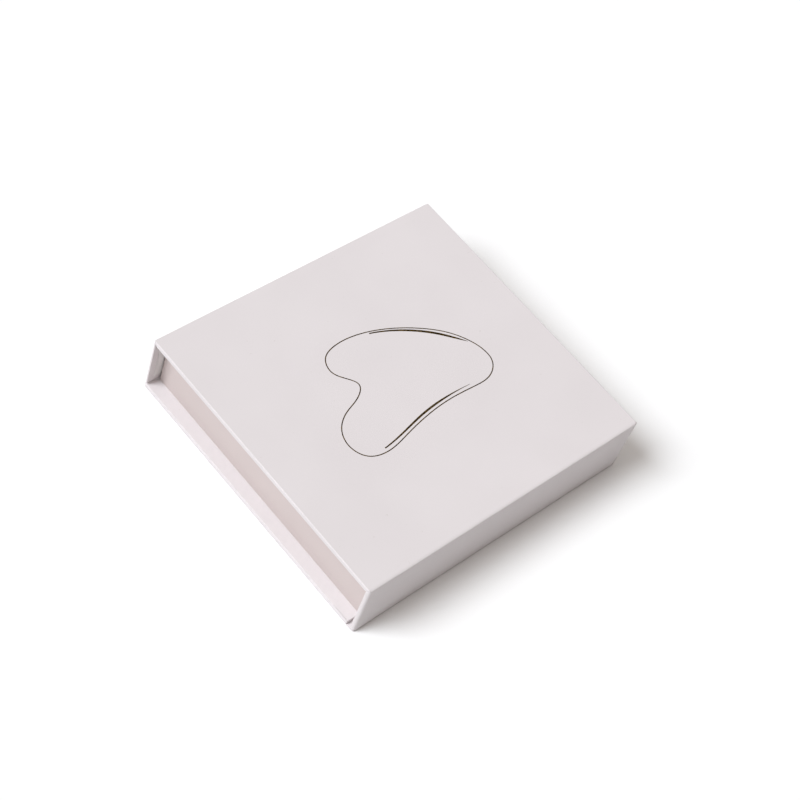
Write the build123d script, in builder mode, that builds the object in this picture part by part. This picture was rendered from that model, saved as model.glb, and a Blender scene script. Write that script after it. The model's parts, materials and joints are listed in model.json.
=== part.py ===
"""Rigid gift box with a magnetic front flap, holding a gua sha scraper in a cut insert.

Millimetres, +Z up, the box closed and standing on its base. X runs along the spine, -Y is the
flap side that opens and +Y the spine. The origin is under the middle of the box, on the table.
"""

import os
from math import hypot, sqrt

from build123d import *

# Driving dimensions
box_length = 150.0  # along the spine
box_depth = 137.6  # outer face of the flap to outer face of the spine
box_height = 31.1  # table to the top of the lid
board = 2.0  # greyboard
flap_thickness = 1.2  # the thinner greyboard of the flap
paper = 0.15  # wrapping and lining paper
recess = 6.4  # the tray's end walls stand back from the ends of the cover
turn_in = 15.0  # wrapping paper folded round to the inner side
liner_margin = 3.0  # the lining stops short of a panel's ends
crease_gap = 0.1  # air between the mitred edges of two panels
groove = 2.0  # open groove between the base's back edge and the spine
corner_radius = 1.2  # the cover's corners in plan
spine_lift = 0.5  # the spine's foot hangs above the table
flap_lift = 0.9  # the flap's free edge hangs above the base
flap_air = 0.4  # between the closed flap and the tray
lid_air = 0.2  # between the closed lid and the tray's rim

stay_thickness = 0.1  # gummed tape round the tray's corners
stay_leg = 12.0
stay_gap = 1.0  # between the stays' ends and the walls' edges
magnet_diameter = 10.0
magnet_thickness = 1.0
catch_thickness = 1.5
pocket_air = 0.1
magnet_offset = 45.0  # each side of the middle
magnet_height = 15.0

pad_height = 8.4
frame_height = 6.0
velvet = 0.6
insert_air = 0.4  # between the insert and the tray's walls
scraper_thickness = 7.0
scraper_edge = 2.5  # rounding of the scraper's rim
scraper_air = 0.5  # between the scraper and its cut-out
notch_radius = 11.0

foil = 0.04
foil_line = 0.45  # width of the printed outline

# Sizes that follow
panel = board + 2 * paper
flap_panel = flap_thickness + 2 * paper
half_length = box_length / 2
half_depth = box_depth / 2
flap_foot = panel + flap_lift
spine_foot = spine_lift + paper
base_back = half_depth - panel - groove
mitre_side = paper * sqrt(2)

tray_half_x = half_length - recess
tray_front = -half_depth + flap_panel + paper + flap_air
tray_back = half_depth - panel - paper
tray_bottom = panel
tray_top = box_height - panel - paper - lid_air
tray_y = (tray_front + tray_back) / 2
tray_half_y = (tray_back - tray_front) / 2
skin = paper + stay_thickness  # wrapping paper and the glue and tape under it
wall_half_x = tray_half_x - skin
wall_half_y = tray_half_y - skin
room_half_x = wall_half_x - board
room_half_y = wall_half_y - board
wall_top = tray_top - paper

insert_half_x = room_half_x - paper - insert_air
insert_half_y = room_half_y - paper - insert_air
pad_bottom = tray_bottom + board
pad_top = pad_bottom + pad_height
frame_bottom = pad_top + velvet
frame_top = frame_bottom + frame_height

# The scraper's outline in plan, clockwise: a smooth closed line runs through these points
OUTLINE = [
    (-42.5, 7.5),
    (-40.0, 14.0),
    (-35.0, 17.0),
    (-26.0, 17.5),
    (-12.0, 17.0),
    (3.0, 18.5),
    (15.0, 21.0),
    (28.0, 23.0),
    (35.5, 20.5),
    (39.0, 13.0),
    (36.5, 5.0),
    (29.0, -0.5),
    (20.0, -4.0),
    (16.0, -8.5),
    (18.0, -12.5),
    (22.0, -19.0),
    (20.0, -25.5),
    (13.0, -28.7),
    (3.0, -28.8),
    (-12.5, -24.5),
    (-26.0, -17.0),
    (-36.0, -8.0),
    (-41.0, 0.5),
]
FINGER_NOTCHES = [(-2.0, 17.8), (2.0, -28.9)]
# Two accents inside the outline: points of each one's middle line, with its width there
FRONT_STROKE = [
    (-39.3, -1.5, 0.15),
    (-36.0, -5.3, 0.8),
    (-30.0, -11.7, 1.1),
    (-22.0, -18.0, 1.0),
    (-13.0, -23.1, 0.75),
    (-4.6, -26.3, 0.55),
]
BACK_STROKE = [
    (-25.0, 15.7, 0.15),
    (-17.0, 15.35, 0.45),
    (-8.0, 15.55, 0.85),
    (3.0, 16.8, 0.9),
    (15.0, 19.3, 0.75),
    (27.0, 21.25, 0.55),
]

pieces = []


def finish(builder, name):
    """Label a finished piece and note it for writing."""
    builder.part.label = name
    pieces.append(builder.part)


def prism(section, reach):
    """Solid of a section in the YZ plane, drawn out along X to both sides."""
    with BuildPart() as solid:
        with BuildSketch(Plane.YZ) as face:
            with BuildLine():
                Polyline(*section, close=True)
            make_face()
        extrude(amount=reach, both=True)
    return solid.part


def cover_prism(section, inset=0.0):
    """Prism as long as the cover, with the cover's rounded corners, drawn in all round by inset."""
    with BuildPart() as solid:
        add(prism(section, half_length - inset))
        with BuildSketch() as plan:
            RectangleRounded(
                2 * (half_length - inset), 2 * (half_depth - inset), corner_radius - inset
            )
        extrude(amount=box_height, mode=Mode.INTERSECT)
    return solid.part


def slab(half_x, half_y, bottom, top, middle_y=0.0):
    """Upright block, centred on X."""
    with BuildPart() as solid:
        with BuildSketch(Plane((0, middle_y, bottom))):
            Rectangle(2 * half_x, 2 * half_y)
        extrude(amount=top - bottom)
    return solid.part


def lid_section(outer, inner, side=0.0):
    """Part of the lid's section between two depths under its top face.

    Both long edges are mitred at 45 degrees, and side draws the mitres in.
    """
    reach = half_depth - crease_gap - side
    return [
        (-(reach - outer), box_height - outer),
        (reach - outer, box_height - outer),
        (reach - inner, box_height - inner),
        (-(reach - inner), box_height - inner),
    ]


def upright_section(hand, outer, inner, foot, side=0.0):
    """Part of the section of the flap (hand -1) or the spine (hand 1).

    It lies between two depths behind the outer face, from the foot up to the mitre.
    """
    crown = box_height - crease_gap - side
    return [
        (hand * (half_depth - outer), foot),
        (hand * (half_depth - outer), crown - outer),
        (hand * (half_depth - inner), crown - inner),
        (hand * (half_depth - inner), foot),
    ]


def rectangle_section(y_low, y_high, z_low, z_high):
    return [(y_low, z_low), (y_high, z_low), (y_high, z_high), (y_low, z_high)]


# ---------------------------------------------------------------- cover: base
base_full = rectangle_section(-half_depth, base_back, 0, panel)
base_core = rectangle_section(-half_depth + paper, base_back - paper, paper, panel - paper)
base_window = rectangle_section(-half_depth + turn_in, base_back - turn_in, panel - paper, panel)
base_hinge = [
    (base_back, 0),
    (half_depth - panel, spine_lift),
    (half_depth, spine_lift),
    (half_depth, spine_foot),
    (half_depth - panel, spine_foot),
    (base_back, paper),
]

with BuildPart() as base_board:
    add(cover_prism(base_core, paper))
finish(base_board, "base_board")

with BuildPart() as base_wrap:
    add(cover_prism(base_full))
    add(cover_prism(base_hinge))
    add(cover_prism(base_core, paper), mode=Mode.SUBTRACT)
    add(prism(base_window, half_length - turn_in), mode=Mode.SUBTRACT)
finish(base_wrap, "base_wrap")

# --------------------------------------------------------------- cover: spine
spine_full = upright_section(1, 0, panel, spine_foot)
spine_core = upright_section(1, paper, panel - paper, spine_foot, mitre_side)
spine_inner = upright_section(1, paper, panel, spine_foot)
spine_cover = rectangle_section(
    half_depth - panel - paper, half_depth - panel, panel, box_height - crease_gap - panel - paper
)

with BuildPart() as spine_board:
    add(cover_prism(spine_core, paper))
finish(spine_board, "spine_board")

with BuildPart() as spine_wrap:
    add(cover_prism(spine_full))
    add(cover_prism(spine_core, paper), mode=Mode.SUBTRACT)
    add(prism(spine_inner, half_length - turn_in), mode=Mode.SUBTRACT)
finish(spine_wrap, "spine_wrap")

with BuildPart() as spine_liner:
    add(prism(spine_inner, half_length - turn_in))
    add(cover_prism(spine_core, paper), mode=Mode.SUBTRACT)
    add(prism(spine_cover, half_length - liner_margin))
finish(spine_liner, "spine_liner")

# ----------------------------------------------------------------- cover: lid
lid_full = lid_section(0, panel)
lid_core = lid_section(paper, panel - paper, mitre_side)
lid_inner = lid_section(paper, panel)
lid_cover = rectangle_section(
    -half_depth + crease_gap + panel,
    half_depth - crease_gap - panel,
    box_height - panel - paper,
    box_height - panel,
)

with BuildPart() as lid_board:
    add(cover_prism(lid_core, paper))
finish(lid_board, "lid_board")

with BuildPart() as lid_wrap:
    add(cover_prism(lid_full))
    add(cover_prism(lid_core, paper), mode=Mode.SUBTRACT)
    add(prism(lid_inner, half_length - turn_in), mode=Mode.SUBTRACT)
finish(lid_wrap, "lid_wrap")

with BuildPart() as lid_liner:
    add(prism(lid_inner, half_length - turn_in))
    add(cover_prism(lid_core, paper), mode=Mode.SUBTRACT)
    add(prism(lid_cover, half_length - liner_margin))
finish(lid_liner, "lid_liner")

# ---------------------------------------------------------------- cover: flap
flap_turn_in = turn_in - liner_margin
flap_full = upright_section(-1, 0, flap_panel, flap_foot)
flap_core = upright_section(-1, paper, flap_panel - paper, flap_foot + paper, mitre_side)
flap_inner = upright_section(-1, paper, flap_panel, flap_foot + flap_turn_in)
flap_cover = rectangle_section(
    -half_depth + flap_panel,
    -half_depth + flap_panel + paper,
    flap_foot + liner_margin,
    box_height - crease_gap - panel - paper,
)
flap_face = -half_depth + flap_panel - paper  # inner face of the flap's board


def discs(face_y, direction, radius, depth, centres):
    """Flat round discs let into an upright face that looks along Y."""
    plane = Plane(origin=(0, face_y, magnet_height), x_dir=(1, 0, 0), z_dir=(0, direction, 0))
    with BuildPart() as solid:
        with BuildSketch(plane):
            with Locations(*[(x, 0) for x in centres]):
                Circle(radius)
        extrude(amount=depth)
    return solid.part


magnet_sides = {"left": -magnet_offset, "right": magnet_offset}
magnet_radius = magnet_diameter / 2
pocket_radius = magnet_radius + pocket_air

flap_pockets = discs(
    flap_face, -1, pocket_radius, magnet_thickness + pocket_air, magnet_sides.values()
)

with BuildPart() as flap_board:
    add(cover_prism(flap_core, paper))
    add(flap_pockets, mode=Mode.SUBTRACT)
finish(flap_board, "flap_board")

with BuildPart() as flap_wrap:
    add(cover_prism(flap_full))
    add(cover_prism(flap_core, paper), mode=Mode.SUBTRACT)
    add(prism(flap_inner, half_length - turn_in), mode=Mode.SUBTRACT)
finish(flap_wrap, "flap_wrap")

with BuildPart() as flap_liner:
    add(prism(flap_inner, half_length - turn_in))
    add(cover_prism(flap_core, paper), mode=Mode.SUBTRACT)
    add(prism(flap_cover, half_length - liner_margin))
finish(flap_liner, "flap_liner")

for side_name, magnet_x in magnet_sides.items():
    with BuildPart() as flap_magnet:
        add(discs(flap_face, -1, magnet_radius, magnet_thickness, [magnet_x]))
    finish(flap_magnet, f"flap_magnet_{side_name}")

# ----------------------------------------------------------------------- tray
with BuildPart() as tray_floor:
    add(slab(room_half_x, room_half_y, tray_bottom, tray_bottom + board, tray_y))
finish(tray_floor, "tray_floor")

front_face = tray_y - wall_half_y  # outer face of the front wall's board
catch_pockets = discs(
    front_face, 1, pocket_radius, catch_thickness + pocket_air, magnet_sides.values()
)

with BuildPart() as tray_front_wall:
    add(slab(wall_half_x, board / 2, tray_bottom, wall_top, tray_y - wall_half_y + board / 2))
    add(catch_pockets, mode=Mode.SUBTRACT)
finish(tray_front_wall, "tray_front_wall")

with BuildPart() as tray_back_wall:
    add(slab(wall_half_x, board / 2, tray_bottom, wall_top, tray_y + wall_half_y - board / 2))
finish(tray_back_wall, "tray_back_wall")

for side_name, hand in {"left": -1, "right": 1}.items():
    with BuildPart() as tray_end_wall:
        with BuildSketch(Plane((hand * (room_half_x + board / 2), tray_y, tray_bottom))):
            Rectangle(board, 2 * room_half_y)
        extrude(amount=wall_top - tray_bottom)
    finish(tray_end_wall, f"tray_{side_name}_wall")

for side_name, magnet_x in magnet_sides.items():
    with BuildPart() as catch_plate:
        add(discs(front_face, 1, magnet_radius, catch_thickness, [magnet_x]))
    finish(catch_plate, f"catch_plate_{side_name}")

stay_bottom = tray_bottom + stay_gap
stay_top = wall_top - stay_gap
for depth_name, back in {"front": -1, "back": 1}.items():
    for side_name, hand in {"left": -1, "right": 1}.items():
        with BuildPart() as corner_stay:
            corner = Plane((hand * wall_half_x, tray_y + back * wall_half_y, stay_bottom))
            with BuildSketch(corner):
                with BuildLine():
                    Polyline(
                        (0, 0),
                        (-hand * stay_leg, 0),
                        (-hand * stay_leg, back * stay_thickness),
                        (hand * stay_thickness, back * stay_thickness),
                        (hand * stay_thickness, -back * stay_leg),
                        (0, -back * stay_leg),
                        close=True,
                    )
                make_face()
            extrude(amount=stay_top - stay_bottom)
        finish(corner_stay, f"corner_stay_{depth_name}_{side_name}")

with BuildPart() as tray_wrap:
    with BuildSketch(Plane((0, tray_y, tray_bottom))):
        Rectangle(2 * tray_half_x, 2 * tray_half_y)
        Rectangle(2 * (tray_half_x - paper), 2 * (tray_half_y - paper), mode=Mode.SUBTRACT)
    extrude(amount=tray_top - tray_bottom)
    with BuildSketch(Plane((0, tray_y, wall_top))):
        Rectangle(2 * tray_half_x, 2 * tray_half_y)
        Rectangle(2 * (room_half_x - paper), 2 * (room_half_y - paper), mode=Mode.SUBTRACT)
    extrude(amount=paper)
    with BuildSketch(Plane((0, tray_y, tray_top - turn_in))):
        Rectangle(2 * room_half_x, 2 * room_half_y)
        Rectangle(2 * (room_half_x - paper), 2 * (room_half_y - paper), mode=Mode.SUBTRACT)
    extrude(amount=turn_in)
finish(tray_wrap, "tray_wrap")


# -------------------------------------------------------- insert and scraper
def beside(line, distance, closed=False):
    """Points of a line moved to its left by distance, or by a distance for each point."""
    before = line[-1:] + line[:-1] if closed else line[:1] + line[:-1]
    after = line[1:] + line[:1] if closed else line[1:] + line[-1:]
    distances = distance if isinstance(distance, list) else [distance] * len(line)
    moved = []
    for (x0, y0), (x, y), (x1, y1), shift in zip(before, line, after, distances):
        length = hypot(x1 - x0, y1 - y0)
        moved.append((x - (y1 - y0) / length * shift, y + (x1 - x0) / length * shift))
    return moved


def outline_prism(grow, bottom, height):
    """Solid of the scraper's outline, grown or shrunk all round."""
    with BuildPart() as solid:
        with BuildSketch(Plane.XY.offset(bottom)):
            with BuildLine():
                Spline(*beside(OUTLINE, grow, closed=True), periodic=True)
            make_face()
        extrude(amount=height)
    return solid.part


def stroke_prism(stroke):
    """Foil of one tapering stroke on the lid."""
    middle = [(x, y) for x, y, width in stroke]
    left = beside(middle, [width / 2 for x, y, width in stroke])
    right = beside(middle, [-width / 2 for x, y, width in stroke])
    with BuildPart() as solid:
        with BuildSketch(Plane.XY.offset(box_height)):
            with BuildLine():
                Spline(*left)
                Line(left[-1], right[-1])
                Spline(*right)
                Line(right[0], left[0])
            make_face()
        extrude(amount=foil)
    return solid.part


def cut_out(bottom, height):
    """The scraper's cut-out in the insert, with its two finger notches."""
    with BuildPart() as solid:
        add(outline_prism(scraper_air, bottom, height))
        with BuildSketch(Plane.XY.offset(bottom)):
            with Locations(*FINGER_NOTCHES):
                Circle(notch_radius)
        extrude(amount=height)
    return solid.part


with BuildPart() as insert_pad:
    add(slab(insert_half_x, insert_half_y, pad_bottom, pad_top, tray_y))
finish(insert_pad, "insert_pad")

with BuildPart() as pad_velvet:
    add(slab(insert_half_x, insert_half_y, pad_top, frame_bottom, tray_y))
finish(pad_velvet, "pad_velvet")

with BuildPart() as insert_frame:
    add(slab(insert_half_x, insert_half_y, frame_bottom, frame_top, tray_y))
    add(cut_out(frame_bottom, frame_height), mode=Mode.SUBTRACT)
finish(insert_frame, "insert_frame")

with BuildPart() as insert_velvet:
    add(slab(insert_half_x, insert_half_y, frame_top, frame_top + velvet, tray_y))
    add(cut_out(frame_top, velvet), mode=Mode.SUBTRACT)
finish(insert_velvet, "insert_velvet")

with BuildPart() as scraper:
    add(outline_prism(0, frame_bottom, scraper_thickness))
    rims = scraper.faces().filter_by(Axis.Z).edges()
    fillet(rims, radius=scraper_edge)
finish(scraper, "scraper")

# ---------------------------------------------------------- foil on the lid
with BuildPart() as foil_outline:
    add(outline_prism(foil_line / 2, box_height, foil))
    add(outline_prism(-foil_line / 2, box_height, foil), mode=Mode.SUBTRACT)
finish(foil_outline, "foil_outline")

with BuildPart() as foil_front_stroke:
    add(stroke_prism(FRONT_STROKE))
finish(foil_front_stroke, "foil_front_stroke")

with BuildPart() as foil_back_stroke:
    add(stroke_prism(BACK_STROKE))
finish(foil_back_stroke, "foil_back_stroke")

os.makedirs("parts", exist_ok=True)
for piece in pieces:
    export_step(piece, f"parts/{piece.label}.step")
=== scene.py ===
"""Looks of a rigid, paper-wrapped gift box with a hinged lid and a magnetic front flap.

Metres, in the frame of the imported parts: +Z up, X along the spine, -Y the flap, +Y the spine.
"""

import json
import math

import bmesh
import bpy
from mathutils import Matrix, Vector


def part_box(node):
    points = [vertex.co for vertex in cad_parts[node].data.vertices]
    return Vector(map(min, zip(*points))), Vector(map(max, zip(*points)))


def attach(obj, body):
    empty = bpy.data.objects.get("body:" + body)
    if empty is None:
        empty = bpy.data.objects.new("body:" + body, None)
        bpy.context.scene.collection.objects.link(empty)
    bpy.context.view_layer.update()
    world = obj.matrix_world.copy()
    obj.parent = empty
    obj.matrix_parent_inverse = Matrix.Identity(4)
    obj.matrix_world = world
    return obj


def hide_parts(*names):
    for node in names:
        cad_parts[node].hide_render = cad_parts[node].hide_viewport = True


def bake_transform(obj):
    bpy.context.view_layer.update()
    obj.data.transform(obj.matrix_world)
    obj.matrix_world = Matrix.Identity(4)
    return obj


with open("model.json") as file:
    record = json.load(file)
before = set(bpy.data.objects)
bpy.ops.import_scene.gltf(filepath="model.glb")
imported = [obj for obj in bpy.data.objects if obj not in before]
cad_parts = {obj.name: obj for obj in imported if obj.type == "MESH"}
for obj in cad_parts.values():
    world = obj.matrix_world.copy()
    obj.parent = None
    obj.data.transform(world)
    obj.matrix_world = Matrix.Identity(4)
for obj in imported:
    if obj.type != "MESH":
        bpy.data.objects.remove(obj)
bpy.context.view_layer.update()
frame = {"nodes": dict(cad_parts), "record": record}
nodes = frame["nodes"]

MM = 0.001
PAPER = 0.15 * MM  # thickness
FOLD = 0.4 * MM  # radius of wrapped edges
CREASE = 0.8 * MM  # radius of the paper bent over the two hinge creases
MITRE_AIR = 0.1 * MM  # taken off each board's inner face at a mitred corner
TURN_IN = 15 * MM  # paper turned over onto a board's inner face
FLAP_TURN_IN = 12 * MM
CORNER = 1.2 * MM  # the cover's corners in plan
CORNER_CELLS = 3  # cells along each side of a rounded corner
BEND_STEPS = 8  # flats in the bent paper of a hinge crease
GROOVE_STEPS = 6  # flats in the paper across the groove
SNAP = 0.0001 * MM  # a vertex this close to a cut lies on it
WELD = 0.001 * MM  # vertices closer than this are joined

lid_low, lid_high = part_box("lid_wrap")
spine_low, spine_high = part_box("spine_wrap")
flap_low, flap_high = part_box("flap_wrap")
base_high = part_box("base_board")[1]
tray_low, tray_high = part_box("tray_wrap")
wall_low, wall_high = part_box("tray_front_wall")
half_x = spine_high.x
half_y = spine_high.y
top = lid_high.z
panel = lid_high.z - lid_low.z
flap_panel = flap_high.y - flap_low.y


# ------------------------------------------------------------------ materials
class Shader:
    """A node tree with a Principled shader, and short calls for the nodes it is built from."""

    def __init__(self, name, roughness=0.6, metallic=0.0):
        self.material = bpy.data.materials.new(name)
        self.material.use_nodes = True
        self.tree = self.material.node_tree
        self.tree.nodes.clear()
        output = self.tree.nodes.new("ShaderNodeOutputMaterial")
        self.body = self.tree.nodes.new("ShaderNodeBsdfPrincipled")
        self.tree.links.new(self.body.outputs[0], output.inputs[0])
        self.coords = self.tree.nodes.new("ShaderNodeTexCoord").outputs["Object"]
        self.set("Roughness", roughness)
        self.set("Metallic", metallic)

    def set(self, socket, value):
        self.body.inputs[socket].default_value = value

    def link(self, source, socket):
        self.tree.links.new(source, self.body.inputs[socket])

    def stretched(self, scale):
        """Coordinates stretched by a factor for each axis."""
        node = self.tree.nodes.new("ShaderNodeMapping")
        node.inputs["Scale"].default_value = scale
        self.tree.links.new(self.coords, node.inputs["Vector"])
        return node.outputs[0]

    def noise(self, size, detail=3.0, coords=None, distortion=0.0):
        """Cloudy noise whose features are about size metres across."""
        node = self.tree.nodes.new("ShaderNodeTexNoise")
        node.inputs["Scale"].default_value = 1 / size
        node.inputs["Detail"].default_value = detail
        node.inputs["Distortion"].default_value = distortion
        self.tree.links.new(coords or self.coords, node.inputs["Vector"])
        return node.outputs["Fac"]

    def ramp(self, source, *stops):
        """Colours by value: each stop is (position, colour)."""
        node = self.tree.nodes.new("ShaderNodeValToRGB")
        elements = node.color_ramp.elements
        while len(elements) < len(stops):
            elements.new(0.5)
        for element, (position, colour) in zip(elements, stops):
            element.position = position
            element.color = (*colour, 1)
        self.tree.links.new(source, node.inputs[0])
        return node.outputs[0]

    def grey(self, source, low, high, start=0.3, end=0.7):
        """The source spread from one plain value to another."""
        node = self.tree.nodes.new("ShaderNodeMapRange")
        limits = {"From Min": start, "From Max": end, "To Min": low, "To Max": high}
        for socket, value in limits.items():
            node.inputs[socket].default_value = value
        self.tree.links.new(source, node.inputs["Value"])
        return node.outputs[0]

    def mix(self, share, first, second):
        """The first colour where share is 0, the second where it is 1."""
        node = self.tree.nodes.new("ShaderNodeMix")
        node.data_type = "RGBA"
        for value, socket in ((share, 0), (first, 6), (second, 7)):
            if isinstance(value, bpy.types.NodeSocket):
                self.tree.links.new(value, node.inputs[socket])
            elif isinstance(value, tuple):
                node.inputs[socket].default_value = (*value, 1)
            else:
                node.inputs[socket].default_value = value
        return node.outputs[2]

    def bump(self, height, strength, distance, under=None):
        node = self.tree.nodes.new("ShaderNodeBump")
        node.inputs["Strength"].default_value = strength
        node.inputs["Distance"].default_value = distance
        self.tree.links.new(height, node.inputs["Height"])
        if under is not None:
            self.tree.links.new(under, node.inputs["Normal"])
        return node.outputs[0]


def paper_material(name, light, dark, speck, roughness):
    """Matt laminated paper: slow tone drift, fine fibre, a few faint specks."""
    paper = Shader(name, roughness)
    drift = paper.noise(34 * MM, 2.0)
    fibre = paper.noise(0.5 * MM, 4.0, paper.stretched((1, 2.6, 1)))
    specks = paper.noise(1.1 * MM, 1.0)
    tone = paper.ramp(drift, (0.32, dark), (0.68, light))
    tone = paper.mix(paper.grey(fibre, 0.0, 0.10), tone, dark)
    tone = paper.mix(paper.grey(specks, 0.0, 0.35, 0.76, 0.84), tone, speck)
    paper.link(tone, "Base Color")
    paper.link(paper.grey(fibre, roughness - 0.05, roughness + 0.08), "Roughness")
    grain = paper.bump(fibre, 0.12, 0.03 * MM)
    paper.link(paper.bump(drift, 0.2, 0.15 * MM, grain), "Normal")
    paper.set("Specular IOR Level", 0.35)
    return paper.material


def greyboard_material():
    """Recycled grey pulp with darker and lighter fibres."""
    pulp = Shader("greyboard", 0.9)
    fibre = pulp.noise(0.6 * MM, 5.0, pulp.stretched((1, 1, 3)))
    flecks = pulp.noise(1.6 * MM, 3.0)
    tone = pulp.ramp(fibre, (0.35, (0.24, 0.22, 0.19)), (0.65, (0.36, 0.34, 0.30)))
    tone = pulp.mix(pulp.grey(flecks, 0.0, 0.5, 0.60, 0.72), tone, (0.12, 0.10, 0.09))
    pulp.link(tone, "Base Color")
    pulp.link(pulp.bump(fibre, 0.5, 0.08 * MM), "Normal")
    return pulp.material


def foil_material():
    """Hot-stamped gold whose colour is painted near black to stand in for the dark surroundings it
    reflects, a little lighter in random patches.
    """
    foil = Shader("gold_foil", 0.34, 0.85)
    painted_reflection_patches = foil.noise(0.9 * MM, 3.0)
    # painted dark reflection: two tones far darker than gold, spread by random patches
    tone = foil.ramp(painted_reflection_patches, (0.36, (0.036, 0.022, 0.006)), (0.66, (0.19, 0.12, 0.028)))
    foil.link(tone, "Base Color")
    foil.link(foil.grey(painted_reflection_patches, 0.30, 0.5), "Roughness")
    foil.link(foil.bump(foil.noise(0.25 * MM), 0.25, 0.02 * MM), "Normal")
    return foil.material


def velvet_material(name, light, dark):
    """Short pile that catches light at its edges and lies in slow brushed patches."""
    pile = Shader(name, 0.95)
    nap = pile.noise(9 * MM, 3.0, distortion=0.6)
    tufts = pile.noise(0.28 * MM, 2.0)
    tone = pile.ramp(nap, (0.3, dark), (0.7, light))
    tone = pile.mix(pile.grey(tufts, 0.0, 0.45), tone, dark)
    pile.link(tone, "Base Color")
    pile.link(pile.bump(tufts, 0.8, 0.12 * MM), "Normal")
    pile.set("Sheen Weight", 0.6)
    pile.set("Sheen Roughness", 0.4)
    return pile.material


def stone_material():
    """Polished rose quartz: milky clouds, paler veins and a glassy skin."""
    stone = Shader("rose_quartz", 0.16)
    clouds = stone.noise(16 * MM, 5.0, distortion=0.9)
    veins = stone.noise(7 * MM, 7.0, stone.stretched((1, 2.2, 1)), distortion=2.2)
    rose, pink, milk = (0.66, 0.32, 0.33), (0.78, 0.46, 0.46), (0.88, 0.66, 0.64)
    tone = stone.ramp(clouds, (0.28, rose), (0.55, pink), (0.8, milk))
    none, most = (0, 0, 0), (0.6, 0.6, 0.6)
    share = stone.ramp(veins, (0.48, none), (0.50, most), (0.52, none))
    tone = stone.mix(share, tone, (0.93, 0.80, 0.78))
    stone.link(tone, "Base Color")
    stone.link(stone.grey(clouds, 0.12, 0.22), "Roughness")
    stone.set("Subsurface Weight", 0.25)
    stone.set("Subsurface Radius", (0.006, 0.003, 0.003))
    stone.set("Coat Weight", 0.4)
    stone.set("Coat Roughness", 0.08)
    return stone.material


def foam_material():
    """Closed-cell foam with fine pores."""
    foam = Shader("foam", 0.9)
    cells = foam.noise(0.35 * MM, 2.0)
    foam.link(foam.ramp(cells, (0.35, (0.52, 0.50, 0.48)), (0.6, (0.72, 0.70, 0.68))), "Base Color")
    foam.link(foam.bump(cells, 0.6, 0.1 * MM), "Normal")
    return foam.material


def tape_material():
    """Gummed kraft tape."""
    tape = Shader("kraft_tape", 0.75)
    fibre = tape.noise(0.7 * MM, 5.0, tape.stretched((1, 1, 5)))
    tape.link(tape.ramp(fibre, (0.3, (0.28, 0.17, 0.08)), (0.7, (0.45, 0.30, 0.16))), "Base Color")
    tape.link(tape.bump(fibre, 0.3, 0.05 * MM), "Normal")
    return tape.material


def metal_material(name, light, dark, roughness):
    """Plated steel with fine drawn scratches."""
    metal = Shader(name, roughness, 1.0)
    scratches = metal.noise(0.4 * MM, 4.0, metal.stretched((1, 1, 9)))
    metal.link(metal.ramp(scratches, (0.3, dark), (0.7, light)), "Base Color")
    metal.link(metal.grey(scratches, roughness, roughness + 0.15), "Roughness")
    return metal.material


wrap = paper_material(
    "wrap_paper",
    light=(0.720, 0.677, 0.683),
    dark=(0.700, 0.657, 0.663),
    speck=(0.50, 0.45, 0.42),
    roughness=0.55,
)
# the tray's paper: a darker, pinker copy of the cover paper, its darkness painted shade of the
# recess under the lid and its pink painted warm bounce light
recess_shade_paper = paper_material(
    "tray_paper_painted_shade",
    light=(0.600, 0.522, 0.505),
    dark=(0.580, 0.500, 0.484),
    speck=(0.42, 0.36, 0.34),
    roughness=0.6,
)
lining = paper_material(
    "lining_paper",
    light=(0.790, 0.765, 0.755),
    dark=(0.760, 0.735, 0.725),
    speck=(0.62, 0.58, 0.54),
    roughness=0.7,
)
velvet = velvet_material("velvet", (0.74, 0.67, 0.63), (0.61, 0.54, 0.505))
MATERIALS = {
    "wrap_paper": wrap,
    "lining_paper": lining,
    "greyboard": greyboard_material(),
    "stay_tape": tape_material(),
    "magnet": metal_material("nickel_plate", (0.78, 0.77, 0.74), (0.62, 0.61, 0.58), 0.22),
    "catch_steel": metal_material("tin_plate", (0.66, 0.67, 0.68), (0.50, 0.51, 0.52), 0.35),
    "foam": foam_material(),
    "velvet": velvet,
    "stone": stone_material(),
    "gold_foil": foil_material(),
}

for part in frame["record"]["subparts"]:
    node = nodes[part["node"]]
    node.data.materials.clear()
    node.data.materials.append(MATERIALS[part["material_slot"]])


# --------------------------------------------------------------- mesh helpers
def new_piece(name, mesh, material):
    """An object of a bmesh, shaded smooth, with its material."""
    data = bpy.data.meshes.new(name)
    mesh.to_mesh(data)
    mesh.free()
    data.materials.append(material)
    data.shade_smooth()
    piece = bpy.data.objects.new(name, data)
    bpy.context.scene.collection.objects.link(piece)
    return piece


def paper_thickness(piece, radius):
    """Round a sheet's folds and give it the paper's thickness, on its inner side."""
    if radius:
        rounding = piece.modifiers.new("folds", "BEVEL")
        rounding.width = radius
        rounding.segments = 4
        rounding.limit_method = "ANGLE"
        rounding.angle_limit = math.radians(40)  # folds turn by more, the corners' cells by less
        rounding.harden_normals = True
    sheet = piece.modifiers.new("paper", "SOLIDIFY")
    sheet.thickness = PAPER
    sheet.offset = -1
    normals = piece.modifiers.new("flat_faces", "WEIGHTED_NORMAL")
    normals.weight = 100


def stand_for(piece, body, slot, *replaced):
    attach(piece, body)
    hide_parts(*replaced)


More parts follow.
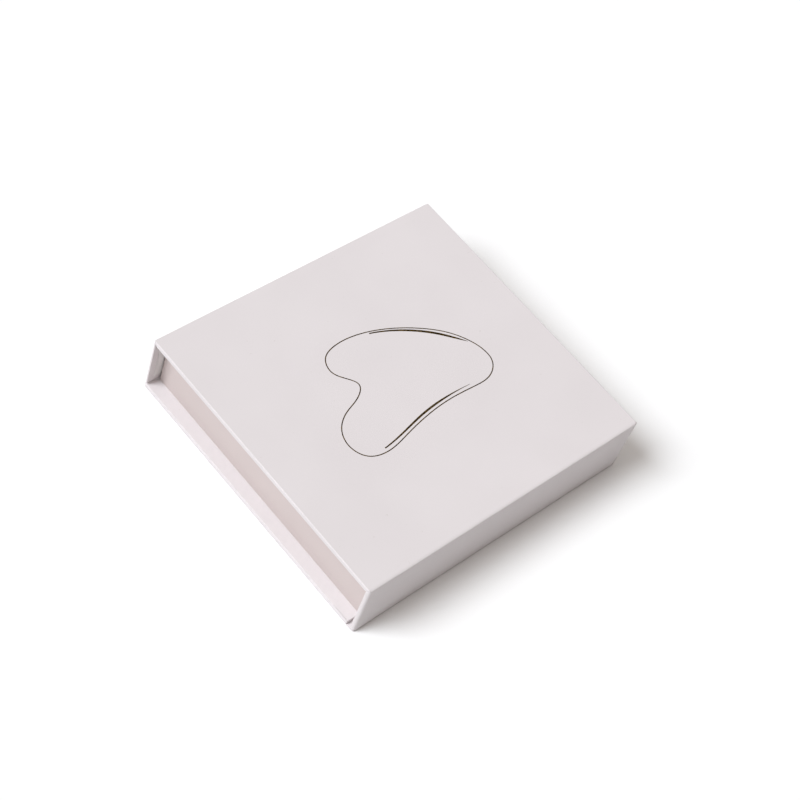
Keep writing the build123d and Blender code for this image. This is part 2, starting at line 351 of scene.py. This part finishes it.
def round_corners(mesh):
    """Bend a piece of the cover to the cover's rounded corners in plan.

    The square corner region is cut into small cells and drawn in to a quarter circle.
    """
    for axis, half in (((1, 0, 0), half_x), ((0, 1, 0), half_y)):
        for side in (-1, 1):
            for cell in range(1, CORNER_CELLS + 1):
                offset = side * (half - CORNER * cell / CORNER_CELLS)
                bmesh.ops.bisect_plane(
                    mesh,
                    geom=mesh.verts[:] + mesh.edges[:] + mesh.faces[:],
                    dist=SNAP,
                    plane_co=Vector(axis) * offset,
                    plane_no=axis,
                )
    for vert in mesh.verts:
        u = abs(vert.co.x) - (half_x - CORNER)
        v = abs(vert.co.y) - (half_y - CORNER)
        if u > 0 and v > 0:
            inward = max(u, v) / math.hypot(u, v)
            vert.co.x = math.copysign(half_x - CORNER + u * inward, vert.co.x)
            vert.co.y = math.copysign(half_y - CORNER + v * inward, vert.co.y)


def face_outwards(mesh, sample, outward):
    """Turn all faces so that the sample face looks outward."""
    bmesh.ops.recalc_face_normals(mesh, faces=mesh.faces)
    sample.normal_update()
    if sample.normal.dot(Vector(outward)) < 0:
        bmesh.ops.reverse_faces(mesh, faces=mesh.faces)


def strips(mesh, left, right, steps):
    """Faces between two rows of vertices, one for each of the steps along them."""
    return [mesh.faces.new((left[i], left[i + 1], right[i + 1], right[i])) for i in steps]


def wrapped_panel(name, section, papered, mitres, outward, turn_start=0.0, turn_finish=0.0):
    """Paper folded round one board of the cover.

    section holds the board's (y, z) corners with the inner face from the last one to the first.
    papered lists the section edges that carry paper, and the first of them faces outward; the
    ends along X always carry it. mitres lists the mitred edges: the first, the last or both.
    On the inner face and the mitres the paper is turned in from both ends, and on the inner
    face also by turn_finish from the section's last corner and by turn_start from its first.
    """
    mesh = bmesh.new()
    left, right = ([mesh.verts.new((x, y, z)) for y, z in section] for x in (-half_x, half_x))
    mesh.faces.new(left)
    mesh.faces.new(right)
    outer = strips(mesh, left, right, papered)
    first, last = Vector((0, *section[0])), Vector((0, *section[-1]))
    along = (last - first).normalized()
    corners = (first + along * turn_start, last - along * turn_finish)
    reach = half_x - TURN_IN
    window = [
        [mesh.verts.new(corner + Vector((x, 0, 0))) for corner in corners] for x in (-reach, reach)
    ]
    for x, side, inner in ((-reach, left, window[0]), (reach, right, window[1])):
        mesh.faces.new((side[0], side[-1], inner[1], inner[0]))
        for edge in mitres:
            if edge == 0:
                ridge = mesh.verts.new((x, *section[1]))
                mesh.faces.new((side[0], side[1], ridge, inner[0]))
            else:
                ridge = mesh.verts.new((x, *section[edge]))
                mesh.faces.new((side[edge], side[-1], inner[1], ridge))
    if turn_start:
        mesh.faces.new((left[0], right[0], window[1][0], window[0][0]))
    if turn_finish:
        mesh.faces.new((left[-1], right[-1], window[1][1], window[0][1]))
    face_outwards(mesh, outer[0], outward)
    round_corners(mesh)
    piece = new_piece(name, mesh, wrap)
    paper_thickness(piece, FOLD)
    return piece


def bent_paper(name, centre, start_angle):
    """Paper bent a quarter turn round a centre line along X, closed at both ends.

    Angles run from +Y to +Z.
    """
    mesh = bmesh.new()
    rows = []
    for x in (-half_x, half_x):
        row = []
        for step in range(BEND_STEPS + 1):
            angle = math.radians(start_angle + 90 * step / BEND_STEPS)
            y = centre[0] + CREASE * math.cos(angle)
            z = centre[1] + CREASE * math.sin(angle)
            row.append(mesh.verts.new((x, y, z)))
        rows.append(row)
    bent = strips(mesh, *rows, range(BEND_STEPS))
    for x, row in zip((-half_x, half_x), rows):
        mesh.faces.new((*row, mesh.verts.new((x, *centre))))
    middle = math.radians(start_angle + 45)
    face_outwards(mesh, bent[BEND_STEPS // 2], (0, math.cos(middle), math.sin(middle)))
    round_corners(mesh)
    piece = new_piece(name, mesh, wrap)
    paper_thickness(piece, 0)
    return piece


# ------------------------------------------------------------ the cover's paper
outer_y = half_y - CREASE
inner_y = half_y - MITRE_AIR - panel
crown = top - CREASE
lid_section = [
    (-inner_y, top - panel),
    (-outer_y, crown),
    (-outer_y, top),
    (outer_y, top),
    (outer_y, crown),
    (inner_y, top - panel),
]
lid_paper = wrapped_panel(
    "lid_paper", lid_section, papered=[2], mitres=[0, 4], outward=(0, 0, 1)
)
stand_for(lid_paper, "lid", "wrap_paper", "lid_wrap")


def upright_section(hand, thickness, foot):
    """Section of the flap (hand -1) or the spine (hand 1), from inner crown to inner foot."""
    return [
        (hand * (half_y - thickness), top - MITRE_AIR - thickness),
        (hand * outer_y, crown),
        (hand * half_y, crown),
        (hand * half_y, foot),
        (hand * (half_y - thickness), foot),
    ]


spine_section = upright_section(1, panel, spine_low.z)
spine_paper = wrapped_panel(
    "spine_paper", spine_section, papered=[2, 3], mitres=[0], outward=(0, 1, 0)
)
stand_for(spine_paper, "tray", "wrap_paper", "spine_wrap")

flap_paper = wrapped_panel(
    "flap_paper",
    upright_section(-1, flap_panel, flap_low.z),
    papered=[2, 3],
    mitres=[0],
    outward=(0, -1, 0),
    turn_finish=FLAP_TURN_IN,
)
stand_for(flap_paper, "flap", "wrap_paper", "flap_wrap")

base_back = base_high.y + PAPER
base_top = base_high.z + PAPER
base_section = [(base_back, base_top), (base_back, 0), (-half_y, 0), (-half_y, base_top)]
base_paper = wrapped_panel(
    "base_paper",
    base_section,
    papered=[0, 1, 2],
    mitres=[],
    outward=(0, 1, 0),
    turn_start=TURN_IN,
    turn_finish=TURN_IN,
)
stand_for(base_paper, "tray", "wrap_paper", "base_wrap")

lid_crease = bent_paper("lid_crease_paper", (outer_y, crown), start_angle=0)
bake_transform(lid_crease)

flap_crease = bent_paper("flap_crease_paper", (-outer_y, crown), start_angle=90)
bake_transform(flap_crease)


def groove_paper():
    """The paper from the base to the spine: up across the open groove, then under the spine."""
    mesh = bmesh.new()
    back = half_y - panel
    foot = spine_low.z - PAPER
    line = []
    for step in range(GROOVE_STEPS + 1):
        y = base_back + (back - base_back) * step / GROOVE_STEPS
        z = foot * (1 - math.cos(math.pi * step / GROOVE_STEPS)) / 2
        line.append((y, z))
    line.append((half_y, foot))
    rows = [[mesh.verts.new((x, y, z)) for y, z in line] for x in (-half_x, half_x)]
    across = strips(mesh, *rows, range(GROOVE_STEPS + 1))
    face_outwards(mesh, across[-1], (0, 0, -1))
    round_corners(mesh)
    piece = new_piece("base_crease_paper", mesh, wrap)
    paper_thickness(piece, 0)
    return piece


base_crease = groove_paper()
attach(base_crease, "tray")


# -------------------------------------------------------------- the tray's paper
def wrapped_tray():
    """Paper round the four walls, over the rim and down inside, as one folded ring."""
    middle = (tray_low + tray_high) / 2
    half = (tray_high - tray_low) / 2
    wall = (wall_high.y - wall_low.y) + (wall_low.y - tray_low.y) + PAPER
    corners = [(1, 1), (-1, 1), (-1, -1), (1, -1)]
    levels = [
        (0, tray_low.z),
        (0, tray_high.z),
        (wall, tray_high.z),
        (wall, tray_high.z - TURN_IN),
    ]
    mesh = bmesh.new()
    loops = []
    for inset, z in levels:
        reach_x, reach_y = half.x - inset, half.y - inset
        loop = []
        for sx, sy in corners:
            loop.append(mesh.verts.new((middle.x + sx * reach_x, middle.y + sy * reach_y, z)))
        loops.append(loop)
    faces = []
    for lower, upper in zip(loops, loops[1:]):
        for i in range(4):
            j = (i + 1) % 4
            faces.append(mesh.faces.new((lower[i], lower[j], upper[j], upper[i])))
    face_outwards(mesh, faces[0], (0, 1, 0))
    # the tray's material carries painted shade and painted bounce light of the recess
    piece = new_piece("tray_paper_painted_shade", mesh, recess_shade_paper)
    paper_thickness(piece, FOLD)
    return piece


tray_paper_painted_shade = wrapped_tray()
stand_for(tray_paper_painted_shade, "tray", "wrap_paper", "tray_wrap")


# ------------------------------------------------------------------- the insert
def soft_copy(name, sources, voxel, smoothing, material):
    """Foam and its velvet as one soft block, remeshed and smoothed so that its edges roll over."""
    mesh = bmesh.new()
    for source in sources:
        mesh.from_mesh(nodes[source].data)
    bmesh.ops.remove_doubles(mesh, verts=mesh.verts, dist=WELD)
    piece = new_piece(name, mesh, material)
    remesh = piece.modifiers.new("remesh", "REMESH")
    remesh.mode = "VOXEL"
    remesh.voxel_size = voxel
    remesh.use_smooth_shade = True
    smooth = piece.modifiers.new("roll", "SMOOTH")
    smooth.iterations = smoothing
    smooth.factor = 0.5
    evaluated = piece.evaluated_get(bpy.context.evaluated_depsgraph_get())
    data = bpy.data.meshes.new_from_object(evaluated)
    piece.modifiers.clear()
    piece.data = data
    data.shade_smooth()
    return piece


VOXEL = 0.9 * MM
velvet_frame = soft_copy(
    "velvet_frame", ["insert_frame", "insert_velvet"], VOXEL, smoothing=5, material=velvet
)
stand_for(velvet_frame, "tray", "velvet", "insert_frame", "insert_velvet")
velvet_bed = soft_copy(
    "velvet_bed", ["insert_pad", "pad_velvet"], 2 * VOXEL, smoothing=2, material=velvet
)
stand_for(velvet_bed, "tray", "velvet", "insert_pad", "pad_velvet")

nodes["scraper"].data.shade_smooth()


# ------------------------------------------------------- camera, light and floor
def aim(azimuth, elevation, roll):
    """Axes of a camera that looks at the box from azimuth and elevation, rolled about its view."""
    a, e, r = (math.radians(value) for value in (azimuth, elevation, roll))
    back = Vector((math.sin(a) * math.cos(e), -math.cos(a) * math.cos(e), math.sin(e)))
    right = Vector((0, 0, 1)).cross(back).normalized()
    up = back.cross(right)
    return (
        right * math.cos(r) + up * math.sin(r),
        up * math.cos(r) - right * math.sin(r),
        back,
    )


def make_camera():
    """A camera that looks down on the spine and one open end."""
    distance = 812.8 * MM
    shift_right, shift_up = -6.89 * MM, -10.75 * MM  # the origin, from the view's centre
    right, up, back = aim(azimuth=121.30, elevation=51.55, roll=22.47)
    data = bpy.data.cameras.new("camera")
    data.sensor_width = 36
    data.lens = 86.85
    data.clip_start = 0.05
    camera = bpy.data.objects.new("camera", data)
    bpy.context.scene.collection.objects.link(camera)
    place = back * distance - right * shift_right - up * shift_up
    turn = Matrix((right, up, back)).transposed().to_4x4()
    camera.matrix_world = Matrix.Translation(place) @ turn
    bpy.context.scene.camera = camera


def soft_sun(name, towards, strength, spread, tint):
    """Even light from one side of the studio; spread is the angle that the source fills."""
    data = bpy.data.lights.new(name, "SUN")
    data.energy = strength
    data.angle = math.radians(spread)
    data.color = tint
    light = bpy.data.objects.new(name, data)
    bpy.context.scene.collection.objects.link(light)
    light.rotation_mode = "QUATERNION"
    light.rotation_quaternion = Vector(towards).to_track_quat("Z", "Y")


def make_floor():
    """A plain floor just under the box."""
    mesh = bmesh.new()
    reach = 6.0
    corners = ((-1, -1), (1, -1), (1, 1), (-1, 1))
    mesh.faces.new([mesh.verts.new((x * reach, y * reach, 0)) for x, y in corners])
    floor_look = Shader("studio_floor", 0.9)
    floor_look.set("Base Color", (0.93, 0.93, 0.93, 1))
    floor = new_piece("floor", mesh, floor_look.material)
    floor.location.z = -0.02 * MM


def make_world():
    """A weak warm glow from all sides."""
    world = bpy.data.worlds.new("studio")
    world.use_nodes = True
    background = world.node_tree.nodes["Background"]
    background.inputs["Color"].default_value = (1, 0.90, 0.84, 1)
    background.inputs["Strength"].default_value = 0.17
    bpy.context.scene.world = world


make_camera()
make_floor()
make_world()
soft_sun("key", (0.60, -0.30, 0.74), strength=2.92, spread=30, tint=(0.96, 1.0, 1.04))
soft_sun("overhead", (0, 0, 1), strength=0.83, spread=60, tint=(1, 0.95, 0.91))
bpy.context.scene.view_settings.view_transform = "Standard"
